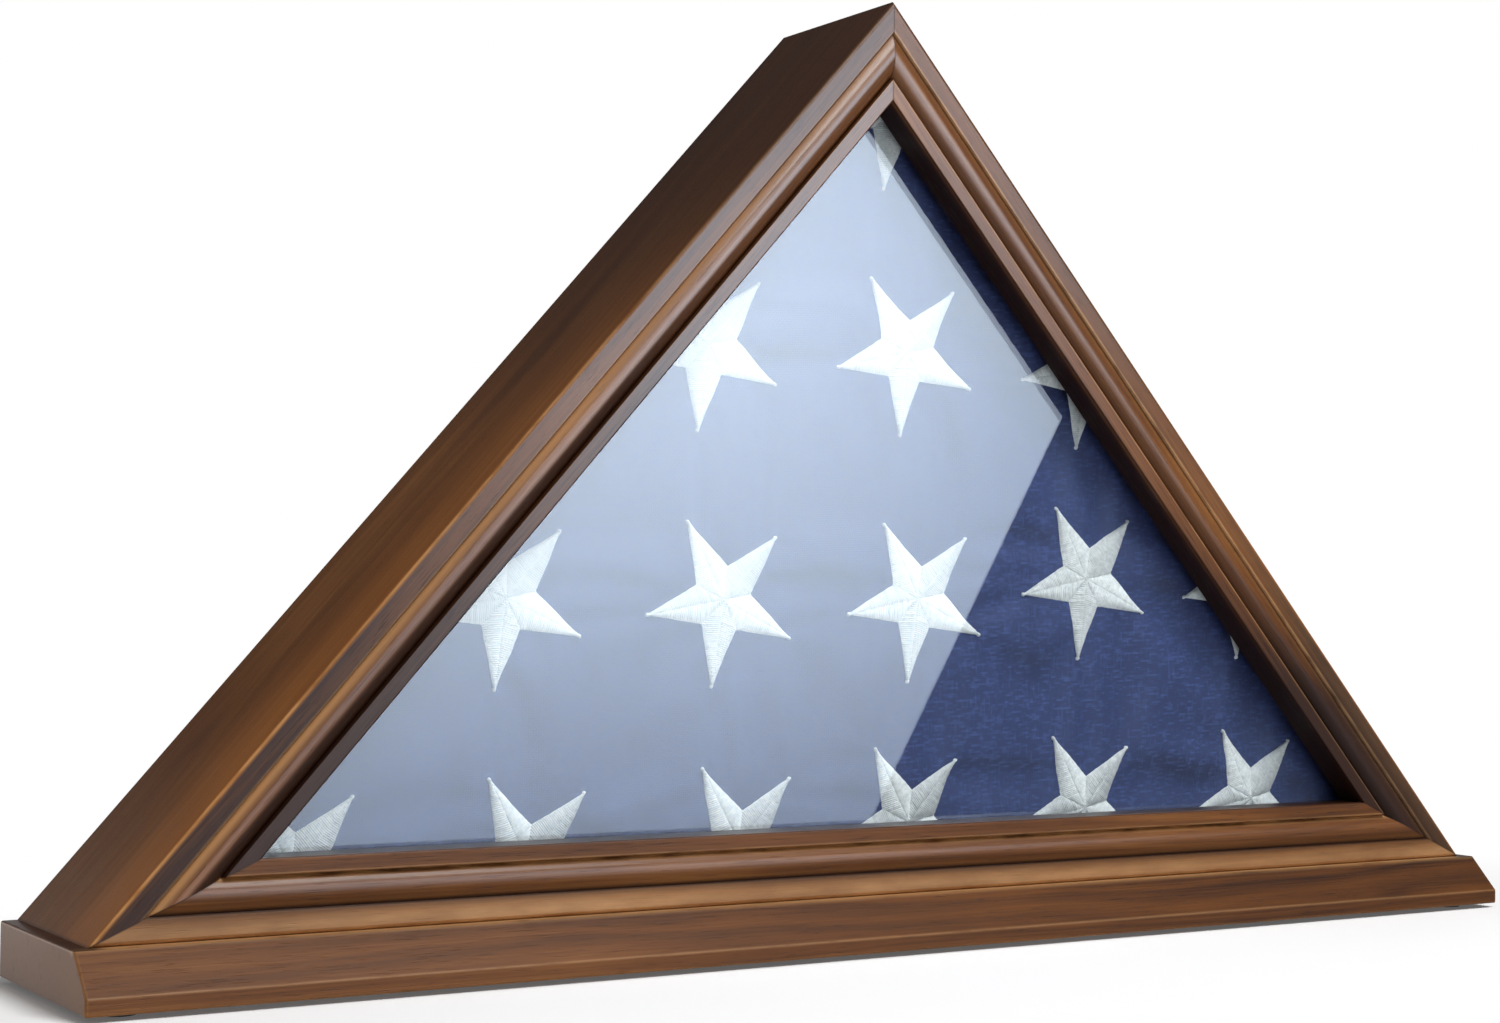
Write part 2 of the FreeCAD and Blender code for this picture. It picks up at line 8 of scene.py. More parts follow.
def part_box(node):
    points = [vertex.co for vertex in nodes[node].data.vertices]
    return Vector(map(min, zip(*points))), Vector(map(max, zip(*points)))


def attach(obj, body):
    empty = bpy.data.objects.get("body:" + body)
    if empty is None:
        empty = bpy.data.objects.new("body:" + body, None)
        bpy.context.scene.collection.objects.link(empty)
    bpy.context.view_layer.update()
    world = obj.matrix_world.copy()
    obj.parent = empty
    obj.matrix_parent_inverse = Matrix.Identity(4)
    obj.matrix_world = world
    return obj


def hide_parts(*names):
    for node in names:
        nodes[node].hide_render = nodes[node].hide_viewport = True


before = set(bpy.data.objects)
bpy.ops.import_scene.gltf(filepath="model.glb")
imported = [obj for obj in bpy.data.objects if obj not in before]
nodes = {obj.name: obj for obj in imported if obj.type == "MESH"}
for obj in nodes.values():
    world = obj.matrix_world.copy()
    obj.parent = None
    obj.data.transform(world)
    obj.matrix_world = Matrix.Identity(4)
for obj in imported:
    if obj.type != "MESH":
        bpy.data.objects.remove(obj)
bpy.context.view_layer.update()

# Folded flag display case: finishes for the wooden case, its glass and its fittings, and the
# folded flag with its embroidered stars as soft pieces. Lengths are in metres.
MM = 0.001

# Main places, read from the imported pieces. BOARD is the thickness of the side boards.
bottom_low, bottom_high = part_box("bottom_side_board")
base_low, base_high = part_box("base_board")
flag_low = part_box("folded_flag")[0]
FRONT = bottom_low.y
BASE_TOP = bottom_low.z
BOARD = bottom_high.z - bottom_low.z
HALF_WIDTH = bottom_high.x
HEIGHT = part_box("left_side_board")[1].z - BASE_TOP
LEG_ANGLE = math.atan2(HEIGHT, HALF_WIDTH)
LEG_LENGTH = math.hypot(HEIGHT, HALF_WIDTH)
FOOT_MITRE = LEG_ANGLE / 2
APEX_MITRE = math.pi / 2 - LEG_ANGLE

# Each side of the triangle: its start on the outer front edge, its turn about Y, its length
# and its mitres. Along a side, depth is measured from the front and inset from the outside.
SIDES = {
    "bottom": ((-HALF_WIDTH, FRONT, BASE_TOP), 0.0, 2 * HALF_WIDTH, FOOT_MITRE, FOOT_MITRE),
    "left": ((0, FRONT, BASE_TOP + HEIGHT), math.pi - LEG_ANGLE, LEG_LENGTH, APEX_MITRE, FOOT_MITRE),
    "right": ((HALF_WIDTH, FRONT, BASE_TOP), math.pi + LEG_ANGLE, LEG_LENGTH, FOOT_MITRE, APEX_MITRE),
}

# Insets of the moulding's lines from the outside of the case, and depths of its low places
BEAD_CREST = BOARD + 4.9 * MM
BEAD_END = BOARD + 11.6 * MM
STRIP_OUTER = BEAD_END + 0.3 * MM
LIP = STRIP_OUTER + 5.8 * MM
QUIRK_DEPTH = 1 * MM
GROOVE_DEPTH = 3.2 * MM
STRIP_DEPTH = 0.2 * MM

# Lines along a side that wear, painted light and painted shade follow, as (depth, inset)
OUTER_EDGE = (0.0, 0.0)
OUTER_ARRIS = (0.2 * MM, 0.2 * MM)
BOARD_ARRIS = (0.2 * MM, BOARD - 0.8 * MM)
QUIRK_LINE = (QUIRK_DEPTH, BOARD)
BEAD_FLANK = (0.2 * MM, BOARD + 0.8 * MM)
GROOVE_LINE = (GROOVE_DEPTH, BEAD_END)
STRIP_ARRIS = (STRIP_DEPTH, STRIP_OUTER + 0.3 * MM)
LIP_ARRIS = (STRIP_DEPTH + 0.4 * MM, LIP)

# Lines along the front of the base board that wear and painted light follow, as (depth, height) from its
# lower front edge. The last one lies on the flat behind the head of the bevel, where painted light lifts the
# shade.
BASE_THICKNESS = base_high.z - base_low.z
BASE_FOOT = (0.0, 0.0)
BEVEL_FOOT = (0.0, 6 * MM)
BEVEL_FLAT = (15.6 * MM, BASE_THICKNESS)

# Star field on the flag's front: places are (x, z), with a step across, a step up, and a spread that
# grows with the square of the row
STAR_RADIUS = 34 * MM
STAR_TURN = math.radians(43)
STAR_MIDDLE = Vector((24 * MM, BASE_TOP + 118.5 * MM))
STAR_ACROSS = Vector((89.6 * MM, 2.6 * MM))
STAR_UP = Vector((-5.4 * MM, 94.2 * MM))
STAR_SPREAD = Vector((0, 2.5 * MM))
STAR_ROWS = range(-2, 4)
STAR_COLUMNS = range(-5, 6)
# Stars that folding has moved: row, column, and the move across and up as shares of the step across
STAR_MOVES = {
    (1, -1): (-0.03, 0.03),
    (1, 0): (0.02, 0.02),
    (1, 1): (0.07, -0.03),
    (0, -2): (-0.05, 0.03),
    (0, 0): (0.03, -0.02),
    (0, 1): (0.01, 0.05),
    (0, 2): (0.01, 0.02),
    (-1, -3): (-0.03, 0.01),
    (-1, -2): (0.0, -0.03),
    (-1, -1): (0.03, -0.04),
    (-1, 0): (-0.07, -0.01),
    (-1, 1): (-0.05, -0.01),
    (-1, 2): (0.0, -0.03),
}
ARMS = 5
ARM_STEP = 2 * math.pi / ARMS
# Radius of a star's notches as a share of its own, and the slope of an arm's edge to its spine
STAR_WAIST = math.sin(math.pi / 10) / math.sin(3 * math.pi / 10)
ARM_SLOPE = STAR_WAIST * math.sin(ARM_STEP / 2) / (1 - STAR_WAIST * math.cos(ARM_STEP / 2))


class Wire:
    """One output of a node. Arithmetic on it adds Math nodes to its tree."""

    def __init__(self, tree, socket):
        self.tree = tree
        self.socket = socket

    def __add__(self, other):
        return self.tree.math("ADD", self, other)

    def __radd__(self, other):
        return self.tree.math("ADD", other, self)

    def __sub__(self, other):
        return self.tree.math("SUBTRACT", self, other)

    def __rsub__(self, other):
        return self.tree.math("SUBTRACT", other, self)

    def __mul__(self, other):
        return self.tree.math("MULTIPLY", self, other)

    def __rmul__(self, other):
        return self.tree.math("MULTIPLY", other, self)

    def __truediv__(self, other):
        return self.tree.math("DIVIDE", self, other)

    def __pow__(self, other):
        return self.tree.math("POWER", self, other)


class Tree:
    """A node tree that grows one node at a time."""

    def __init__(self, tree):
        self.tree = tree
        tree.nodes.clear()

    def add(self, kind, settings=None, sockets=None, out=0):
        """Adds a node: its type, its settings, then the values or wires of its sockets."""
        node = self.tree.nodes.new(kind)
        for name, value in (settings or {}).items():
            if name == "stops":
                fill_ramp(node.color_ramp, value)
            else:
                setattr(node, name, value)
        for name, value in (sockets or {}).items():
            if isinstance(value, Wire):
                self.tree.links.new(value.socket, node.inputs[name])
            else:
                node.inputs[name].default_value = value
        return Wire(self, node.outputs[out]) if len(node.outputs) else node

    def math(self, operation, *values):
        return self.add("ShaderNodeMath", {"operation": operation}, dict(enumerate(values)))

    def split(self, vector):
        first = self.add("ShaderNodeSeparateXYZ", sockets={0: vector})
        return [Wire(self, socket) for socket in first.socket.node.outputs]

    def join(self, x, y, z):
        return self.add("ShaderNodeCombineXYZ", sockets={0: x, 1: y, 2: z})

    def smooth(self, value, low, high):
        """0 below low, 1 above high, and a soft step between."""
        return self.add(
            "ShaderNodeMapRange",
            {"interpolation_type": "SMOOTHSTEP"},
            {"Value": value, "From Min": low, "From Max": high},
        )

    def between(self, value, low, high, soft):
        """1 between two values, with soft ends."""
        return self.smooth(value, low, low + soft) * (1 - self.smooth(value, high - soft, high))

    def near(self, first, second, line, reach):
        """1 on a line, which is given by its two coordinates, falling to 0 at a reach from it."""
        distance = ((first - line[0]) ** 2 + (second - line[1]) ** 2) ** 0.5
        return 1 - self.smooth(distance, 0.0, reach)

    def noise(self, vector, scale=1.0, detail=2.0, roughness=0.5):
        sockets = {"Vector": vector, "Scale": scale, "Detail": detail, "Roughness": roughness}
        return self.add("ShaderNodeTexNoise", sockets=sockets)

    def ramp(self, value, stops):
        return self.add("ShaderNodeValToRGB", {"stops": stops}, {0: value})

    def mix(self, factor, first, second):
        """Colour mix from first to second."""
        return self.add("ShaderNodeMix", {"data_type": "RGBA"}, {0: factor, 6: first, 7: second}, out=2)

    def bump(self, height, distance):
        return self.add("ShaderNodeBump", sockets={"Height": height, "Distance": distance})

    def largest(self, values):
        total = values[0]
        for value in values[1:]:
            total = self.math("MAXIMUM", total, value)
        return total


def fill_ramp(ramp, stops):
    """Sets a colour ramp's stops from pairs of a place and a colour."""
    while len(ramp.elements) < len(stops):
        ramp.elements.new(1.0)
    for element, (place, tint) in zip(ramp.elements, stops):
        element.position = place
        element.color = tint


def colour(red, green, blue):
    return (red, green, blue, 1.0)


WHITE = colour(1, 1, 1)


class Finish(Tree):
    """A material, starting from the point on the piece."""

    def __init__(self, name):
        self.material = bpy.data.materials.new(name)
        self.material.use_nodes = True
        super().__init__(self.material.node_tree)
        self.point = self.add("ShaderNodeTexCoord", out="Object")

    def drawn_out(self, place, scales, detail=2.0):
        """Noise drawn out along the wood, with its scales along and across the grain."""
        along, depth, inset = place
        lengthwise, crosswise = scales
        stretched = self.join(along * lengthwise, depth * crosswise, inset * crosswise)
        return self.noise(stretched, detail=detail)

    def show(self, shader):
        self.add("ShaderNodeOutputMaterial", sockets={"Surface": shader})
        return self.material

    def principled(self, sockets):
        return self.show(self.add("ShaderNodeBsdfPrincipled", sockets=sockets))


# Wood finishes

WALNUT_DARK = colour(0.026, 0.009, 0.004)
WALNUT_BODY = colour(0.125, 0.043, 0.010)
WALNUT_LIGHT = colour(0.290, 0.118, 0.030)
FLUSH_BROWN = colour(0.330, 0.115, 0.022)
# Gold of wear on the edges, also laid on as painted highlights and as painted light in shaded places
GOLD_WEAR_AND_LIGHT = colour(0.620, 0.340, 0.145)
# Dark of stain in the joints, also laid on as painted shade in hollows and corners
STAIN_AND_SHADE_DARK = colour(0.012, 0.004, 0.003)
PINE_DARK = colour(0.42, 0.25, 0.12)
PINE_PALE = colour(0.62, 0.44, 0.25)
HARDBOARD_DARK = colour(0.085, 0.045, 0.022)
HARDBOARD_PALE = colour(0.205, 0.115, 0.060)
PORE_RELIEF = 0.06 * MM
PINE_RELIEF = 0.1 * MM
HARDBOARD_RELIEF = 0.06 * MM
# Growth rings: the pith that they run round, their number and how far they wander
PITH_DEPTH = 55 * MM
PITH_INSET = -38 * MM
RINGS_PER_METRE = 360
RING_SCALE_ALONG = 1.1
RING_WANDER = 16 * MM
# Scales of the wood's patterns along and across the grain, in steps per metre
WANDER_SCALES = (3.2, 16)
FIBRE_SCALES = (26, 1500)
STAIN_SCALES = (7, 24)
PORE_SCALES = (80, 2300)
BREAKUP_SCALES = (60, 250)
PATCH_SCALES = (9, 40)


def wood_grain(finish, along, depth, inset):
    """Tone of the wood, about 0 to 1, and the height of its pores, with growth rings round one pith."""
    place = (along, depth, inset)
    wander = finish.drawn_out(place, WANDER_SCALES)
    radius = ((depth - PITH_DEPTH) ** 2 + (inset - PITH_INSET) ** 2) ** 0.5
    layers = (radius + wander * RING_WANDER) * RINGS_PER_METRE
    rings = finish.noise(finish.join(along * RING_SCALE_ALONG, layers, 0.0), detail=3, roughness=0.6)
    fibre = finish.drawn_out(place, FIBRE_SCALES)
    stain = finish.drawn_out(place, STAIN_SCALES, detail=3)
    pores = finish.smooth(finish.drawn_out(place, PORE_SCALES), 0.58, 0.72)
    tone = rings * 0.74 + fibre * 0.32 + stain * 0.6 - pores * 0.18 - 0.33
    return tone, fibre * 0.3 - pores


def lacquered(finish, tone, flush, gold_wear_and_light, stain_and_shade, pores, gloss):
    """Stained wood under satin lacquer: flushed warm, gold with wear and painted light on its edges, dark
    with stain and painted shade in its corners.
    """
    body = finish.ramp(tone, [(0.1, WALNUT_DARK), (0.5, WALNUT_BODY), (0.95, WALNUT_LIGHT)])
    warm = finish.mix(flush, body, FLUSH_BROWN)
    wear_and_light = finish.mix(gold_wear_and_light, warm, GOLD_WEAR_AND_LIGHT)
    return finish.principled({
        "Base Color": finish.mix(stain_and_shade, wear_and_light, STAIN_AND_SHADE_DARK),
        "Roughness": 0.42 - tone * 0.1,
        "Normal": finish.bump(pores, PORE_RELIEF),
        "Specular IOR Level": 0.15,
        "Coat Weight": gloss,
        "Coat Roughness": 0.2,
    })


# How each side differs, much of it painted light and shade that follows how the light falls on that
# side. Gold: of wear with a painted highlight on the outer arris, of wear on the board beside the
# quirk, a painted highlight on the bead's outer flank, painted light in the groove, of wear on the
# strip's edge, and on the board's front. Painted shade: in the quirk, as far as its reach, in the
# groove, on the bead's inner flank, on the board's front, on the strip and at the foot. Gloss: at the
# head, on the strip and on the bead's outer flank.
SIDE_LOOK = {
    "bottom": {
        "arris_gold_and_highlight": 0.9, "quirk_gold": 0.0, "bead_highlight": 0.1, "groove_light": 1.0, "strip_gold": 0.3,
        "band_gold": 0.7, "quirk_shade": 0.9, "quirk_reach": 2.6 * MM, "groove_shade": 0.0,
        "flank_shade": 0.0, "band_shade": 0.0, "strip_shade": 0.05, "foot_shade": 0.0,
        "gloss": 0.7, "strip_gloss": 0.0, "flank_gloss": 0.2,
    },
    "left": {
        "arris_gold_and_highlight": 1.0, "quirk_gold": 0.0, "bead_highlight": 0.5, "groove_light": 0.0, "strip_gold": 0.0,
        "band_gold": 0.0, "quirk_shade": 0.0, "quirk_reach": 0.9 * MM, "groove_shade": 0.9,
        "flank_shade": 0.85, "band_shade": 0.2, "strip_shade": 0.45, "foot_shade": 0.0,
        "gloss": 0.6, "strip_gloss": 0.3, "flank_gloss": 0.7,
    },
    "right": {
        "arris_gold_and_highlight": 0.1, "quirk_gold": 0.6, "bead_highlight": 0.1, "groove_light": 0.0, "strip_gold": 0.4,
        "band_gold": 0.12, "quirk_shade": 0.35, "quirk_reach": 0.9 * MM, "groove_shade": 0.4,
        "flank_shade": 0.25, "band_shade": 0.08, "strip_shade": 0.05, "foot_shade": 0.55,
        "gloss": 0.45, "strip_gloss": 0.05, "flank_gloss": 1.0,
    },
}


class SideFinish(Finish):
    """Finish of one side of the triangle, with masks for the places on its board and its moulding."""

    def __init__(self, side):
        super().__init__(f"{side}_walnut")
        origin, turn, self.length, self.start_mitre, self.end_mitre = SIDES[side]
        self.look = SIDE_LOOK[side]
        place = {"Vector": self.point, "Location": origin, "Rotation": (0, turn, 0)}
        laid_along = self.add("ShaderNodeMapping", {"vector_type": "TEXTURE"}, place)
        self.along, self.depth, self.inset = self.split(laid_along)
        height = self.split(self.point)[2]
        self.low = 1 - self.smooth(height, BASE_TOP, BASE_TOP + HEIGHT)
        self.foot = 1 - self.smooth(height, BASE_TOP + 0.1 * HEIGHT, BASE_TOP + 0.4 * HEIGHT)
        on_front = 1 - self.smooth(self.depth, 0.4 * MM, 1.4 * MM)
        self.band = self.between(self.inset, -1 * MM, BOARD, 1 * MM) * on_front
        self.bead = self.between(self.inset, BOARD, BEAD_END, 2 * MM)
        self.strip = self.between(self.inset, BEAD_END - 0.3 * MM, LIP, 0.5 * MM)
        self.outside = 1 - self.smooth(self.inset, 0.2 * MM, 2 * MM)
        wood = (self.along, self.depth, self.inset)
        self.breakup = self.drawn_out(wood, BREAKUP_SCALES, detail=3)
        self.patches = self.smooth(self.drawn_out(wood, PATCH_SCALES), 0.3, 0.7)

    def beside(self, line, reach):
        """1 on a line along the side, falling to 0 at a reach from it."""
        return self.near(self.depth, self.inset, line, reach)

    def off_mitre(self, along, mitre):
        """Distance from the mitre at one end, for a place along the side measured from that end."""
        return self.math("ABSOLUTE", along * math.sin(mitre) - self.inset * math.cos(mitre))

    def toned(self, grain):
        """Grain, darkened by painted shade on the board's front, at the foot and on the strip."""
        # Painted shade: on the board's front, twice as strong at the foot; at the foot; and on the strip,
        # more low down.
        front = self.band * (self.foot + 1) * self.look["band_shade"]
        foot = self.foot * (1 - self.outside) * self.look["foot_shade"]
        strip = self.strip * (self.low * 0.8 + 0.2) * self.look["strip_shade"]
        return grain - front - foot - strip

    def flush(self):
        """Warm flush on the outer face, strongest along its front edge and low down."""
        warmth = (self.patches * 0.4 + 0.6) * (self.low * 0.7 + 0.3)
        return self.beside(OUTER_EDGE, 50 * MM) * self.outside * warmth

    def gold(self):
        """Gold of wear on the edges, with painted highlights on the outer arris and the bead's outer flank
        and painted light in the groove, and mottled gold on the board's front.
        """
        look = self.look
        edges = self.largest([
            # Gold of wear on the outer arris with a painted highlight, stronger low down.
            self.beside(OUTER_ARRIS, 1.2 * MM) * (self.low * 0.5 + 0.5) * look["arris_gold_and_highlight"],
            self.beside(BOARD_ARRIS, 1.3 * MM) * look["quirk_gold"],
            # Painted light in the groove, lifting its shade.
            self.beside(GROOVE_LINE, 3.5 * MM) * look["groove_light"],
            self.beside(STRIP_ARRIS, 0.7 * MM) * look["strip_gold"],
        ])
        wear_and_light = edges * self.smooth(self.breakup, 0.2, 0.6) * 0.85
        # Painted highlight on the bead's outer flank, stronger low down.
        flank = self.beside(BEAD_FLANK, 2.8 * MM) * look["bead_highlight"]
        # Painted shade at the foot takes back the gold there.
        gold_wear_and_light = (wear_and_light + flank * (self.low * 0.7 + 0.3)) * (1 - self.foot * look["foot_shade"])
        off_quirk = 1 - self.smooth(self.inset, 0.35 * BOARD, 0.9 * BOARD) * 0.75
        mottled = (self.patches * 0.4 + 0.4) * (self.breakup + 0.5)
        return gold_wear_and_light + self.band * off_quirk * mottled * self.low * look["band_gold"]

    def stain(self):
        """Dark stain in the mitres; painted shade in the quirk and groove, on the inner flank, on the lip and
        on the cheek behind it; and darker high on the outer face.
        """
        look = self.look
        past_crest = self.smooth(self.inset, BEAD_CREST, BEAD_CREST + 2.5 * MM)
        inner_flank = past_crest * (1 - self.smooth(self.inset, BEAD_END, STRIP_OUTER))
        past_lip = self.smooth(self.inset, LIP - 0.2 * MM, LIP + 0.1 * MM)
        start = self.off_mitre(self.along, self.start_mitre)
        end = self.off_mitre(self.length - self.along, self.end_mitre)
        joint = self.math("MINIMUM", start, end)
        return self.largest([
            # Painted shade in the quirk, as far as its reach.
            self.beside(QUIRK_LINE, look["quirk_reach"]) * look["quirk_shade"],
            # Painted shade in the groove.
            self.beside(GROOVE_LINE, 2.4 * MM) * look["groove_shade"],
            # Painted shade on the bead's inner flank, stronger low down.
            inner_flank * self.smooth(self.low, 0.05, 0.5) * look["flank_shade"],
            # Painted shade on the lip's edge and on the cheek behind the lip.
            self.beside(LIP_ARRIS, 1 * MM) * 0.8,
            past_lip * self.smooth(self.depth, STRIP_DEPTH + 0.3 * MM, STRIP_DEPTH + 3 * MM),
            (1 - self.smooth(joint, 0.1 * MM, 0.5 * MM)) * 0.55,
            # Darker high on the outer face.
            self.outside * (1 - self.smooth(self.low, 0.0, 0.6)) * 0.8,
        ])

    def gloss(self, stain):
        """Weight of the lacquer's gloss: more at the head and on the bead, less where stain and painted shade
        are.
        """
        look = self.look
        outer_flank = self.between(self.inset, BOARD - 1 * MM, BEAD_CREST, 1 * MM)
        sheen = (1 - self.smooth(self.low, 0.1, 0.95) * 0.93) * look["gloss"] + self.bead * 0.2
        bright = sheen + self.strip * (1 - self.low * 0.7) * look["strip_gloss"]
        held_back = (1 - stain) * (1 - self.outside * 0.7)
        return bright * held_back * (1 - outer_flank * (1 - look["flank_gloss"]))


def side_walnut(side):
    """Walnut of one side of the triangle, for its board and its bead moulding."""
    finish = SideFinish(side)
    grain, pores = wood_grain(finish, finish.along, finish.depth, finish.inset)
    # Dark stain in the mitres and painted shade in the moulding's hollows, as one mask.
    stain = finish.stain()
    return lacquered(
        finish, finish.toned(grain), finish.flush(), finish.gold(), stain, pores, finish.gloss(stain))


# Shift of the base board's grain, so that it isn't that of the sides
BASE_GRAIN_ALONG = 0.9
BASE_GRAIN_DEPTH = 20 * MM


def base_walnut():
    """Walnut of the base board, with its grain along the base and painted shade that darkens it towards the
    right.
    """
    finish = Finish("base_walnut")
    across, y, z = finish.split(finish.point)
    depth, height = y - base_low.y, z - base_low.z
    off_middle = finish.math("ABSOLUTE", across)
    grain, pores = wood_grain(finish, across + BASE_GRAIN_ALONG, depth + BASE_GRAIN_DEPTH, height)
    end = finish.smooth(off_middle, base_high.x - 0.4 * MM, base_high.x - 0.1 * MM)
    # Painted shade: the tone falls towards the right.
    tone = grain - 0.1 - across * 0.42 + (0.5 - grain) * end * 0.8
    # Gold of wear on the arrises and ends; on the flat behind the bevel's head it is also painted light
    # against the shade there.
    edges = finish.largest([
        finish.near(depth, height, BEVEL_FLAT, 3.6 * MM) * 0.8,
        finish.near(depth, height, BEVEL_FOOT, 1.0 * MM) * 0.25,
        finish.near(depth, height, BASE_FOOT, 1.2 * MM) * 0.3,
        finish.smooth(off_middle, base_high.x - 1.6 * MM, base_high.x - 0.3 * MM) * 0.2,
    ])
    breakup = finish.drawn_out((across, depth, height), BREAKUP_SCALES, detail=3)
    gold_wear_and_light = edges * finish.smooth(breakup, 0.1, 0.5) * 0.75
    # The top of the base beyond the case is darkened.
    beyond_case = finish.smooth(off_middle, HALF_WIDTH - 8 * MM, HALF_WIDTH)
    on_top = finish.smooth(height, BASE_THICKNESS - 0.4 * MM, BASE_THICKNESS - 0.1 * MM)
    ledge = on_top * beyond_case
    return lacquered(finish, tone, end * 0.25, gold_wear_and_light, ledge * 0.85, pores * (1 - end), end * 0.5)


def bare_pine():
    """Unfinished pine with a plain straight grain."""
    finish = Finish("bare_pine")
    x, y, z = finish.split(finish.point)
    grain = finish.noise(finish.join(x * 30, y * 260, z * 60), detail=3)
    body = finish.ramp(grain, [(0.3, PINE_DARK), (0.7, PINE_PALE)])
    return finish.principled({
        "Base Color": body,
        "Roughness": 0.6 + grain * 0.2,
        "Normal": finish.bump(grain, PINE_RELIEF),
    })


def hardboard():
    """Pressed brown board with a mottled smooth face."""
    finish = Finish("hardboard")
    fibres = finish.noise(finish.point, scale=900, detail=3, roughness=0.7)
    clouds = finish.noise(finish.point, scale=26, detail=4)
    tone = fibres * 0.6 + clouds * 0.4
    body = finish.ramp(tone, [(0.3, HARDBOARD_DARK), (0.7, HARDBOARD_PALE)])
    return finish.principled({
        "Base Color": body,
        "Roughness": 0.5 + fibres * 0.25,
        "Normal": finish.bump(fibres, HARDBOARD_RELIEF),
    })


# Glass, metal and rubber

GLASS_TINT = colour(0.965, 0.985, 0.978)
# Share of light that the glass mirrors when it is seen straight on
GLASS_MIRROR = 0.043
BRASS_BRIGHT = colour(0.78, 0.55, 0.24)
BRASS_DULL = colour(0.50, 0.33, 0.13)
ZINC_BRIGHT = colour(0.62, 0.63, 0.62)
ZINC_DULL = colour(0.42, 0.43, 0.43)
PLATE_RELIEF = 0.02 * MM
RUBBER_BLACK = colour(0.012, 0.012, 0.013)
RUBBER_GREY = colour(0.032, 0.032, 0.033)
RUBBER_RELIEF = 0.05 * MM


def clear_glass():
    """Thin clear pane: it lets light straight through and mirrors a share that grows at a slant."""
    finish = Finish("clear_glass")
    slant = finish.add("ShaderNodeLayerWeight", sockets={"Blend": 0.5}, out="Facing")
    share = GLASS_MIRROR + (slant ** 5) * (1 - GLASS_MIRROR)
    through = finish.add("ShaderNodeBsdfTransparent", sockets={"Color": GLASS_TINT})
    mirror = finish.add("ShaderNodeBsdfGlossy", sockets={"Color": WHITE, "Roughness": 0.0})
    return finish.show(finish.add("ShaderNodeMixShader", sockets={0: share, 1: through, 2: mirror}))


def plated(name, bright, dull):
    """Plated metal with a dull bloom and fine drawn lines."""
    finish = Finish(name)
    x, y, z = finish.split(finish.point)
    bloom = finish.noise(finish.point, scale=420, detail=4)
    lines = finish.noise(finish.join(x * 400, y * 4000, z * 6000), detail=2)
    return finish.principled({
        "Base Color": finish.ramp(bloom, [(0.35, dull), (0.6, bright)]),
        "Metallic": 1.0,
        "Roughness": 0.22 + bloom * 0.3,
        "Normal": finish.bump(lines, PLATE_RELIEF),
    })


def black_rubber():
    """Matt black rubber with a fine speckle."""
    finish = Finish("black_rubber")
    speckle = finish.noise(finish.point, scale=1600, detail=2)
    body = finish.ramp(speckle, [(0.3, RUBBER_BLACK), (0.7, RUBBER_GREY)])
    return finish.principled({
        "Base Color": body,
        "Roughness": 0.65 + speckle * 0.25,
        "Normal": finish.bump(speckle, RUBBER_RELIEF),
    })


# Flag finishes

NAVY_DEEP = colour(0.008, 0.018, 0.090)
NAVY_PALE = colour(0.042, 0.066, 0.215)
NAVY_SHEEN = colour(0.45, 0.55, 0.85)
STITCH_GREY = colour(0.60, 0.62, 0.66)
STITCH_WHITE = colour(0.93, 0.94, 0.97)
THREAD_PITCH = 0.9 * MM
THREAD_SLANT = 0.04
# Step from one thread to the next in the noise that thickens them, far enough to make them differ
THREAD_STEP = 7.3
WEAVE_RELIEF = 0.04 * MM
STRAND_RELIEF = 0.08 * MM


def navy_cloth():
    """Plain-woven navy cloth whose threads run along and up the case, some of them thicker and paler."""
    finish = Finish("navy_cloth")
    x, y, z = finish.split(finish.point)
    warp = (x + z * THREAD_SLANT) / THREAD_PITCH
    weft = (z - x * THREAD_SLANT) / THREAD_PITCH
    warp_number, weft_number = finish.math("FLOOR", warp), finish.math("FLOOR", weft)
    over = finish.math("PINGPONG", warp_number + weft_number, 1.0)
    warp_round = finish.math("ABSOLUTE", finish.math("SINE", warp * math.pi))
    weft_round = finish.math("ABSOLUTE", finish.math("SINE", weft * math.pi))
    height = weft_round * over + warp_round * (1 - over)
    thick_weft = finish.noise(finish.join(warp * 0.16, weft_number * THREAD_STEP, 0.0))
    thick_warp = finish.noise(finish.join(warp_number * THREAD_STEP, weft * 0.12, 5.0))
    slub = finish.smooth(thick_weft, 0.45, 0.75) + finish.smooth(thick_warp, 0.5, 0.8) * 0.6
    streaks = finish.noise(finish.join(x * 55, z * 12, y), detail=2)
    clouds = finish.noise(finish.point, scale=15, detail=3)
    tone = height * 0.2 + slub * 0.55 + streaks * 0.35 + clouds * 0.4 - 0.33
    return finish.principled({
        "Base Color": finish.ramp(tone, [(0.1, NAVY_DEEP), (0.8, NAVY_PALE)]),
        "Roughness": 0.66 + slub * 0.12,
        "Normal": finish.bump(height + slub * 0.7, WEAVE_RELIEF),
        "Sheen Weight": 0.05,
        "Sheen Roughness": 0.4,
        "Sheen Tint": NAVY_SHEEN,
    })


def white_thread():
    """Glossy white embroidery thread; each stitch has its own tone."""
    finish = Finish("white_thread")
    tone = finish.add("ShaderNodeAttribute", {"attribute_name": "stitch_tone"}, out="Fac")
    strands = finish.noise(finish.point, scale=2600, detail=1)
    clumps = finish.smooth(finish.noise(finish.point, scale=620, detail=2), 0.35, 0.65)
    shade = tone * 0.45 + strands * 0.2 + clumps * 0.35
    return finish.principled({
        "Base Color": finish.ramp(shade, [(0.0, STITCH_GREY), (0.8, STITCH_WHITE)]),
        "Roughness": 0.42 + strands * 0.2,
        "Normal": finish.bump(strands, STRAND_RELIEF),
        "Sheen Weight": 0.15,
    })


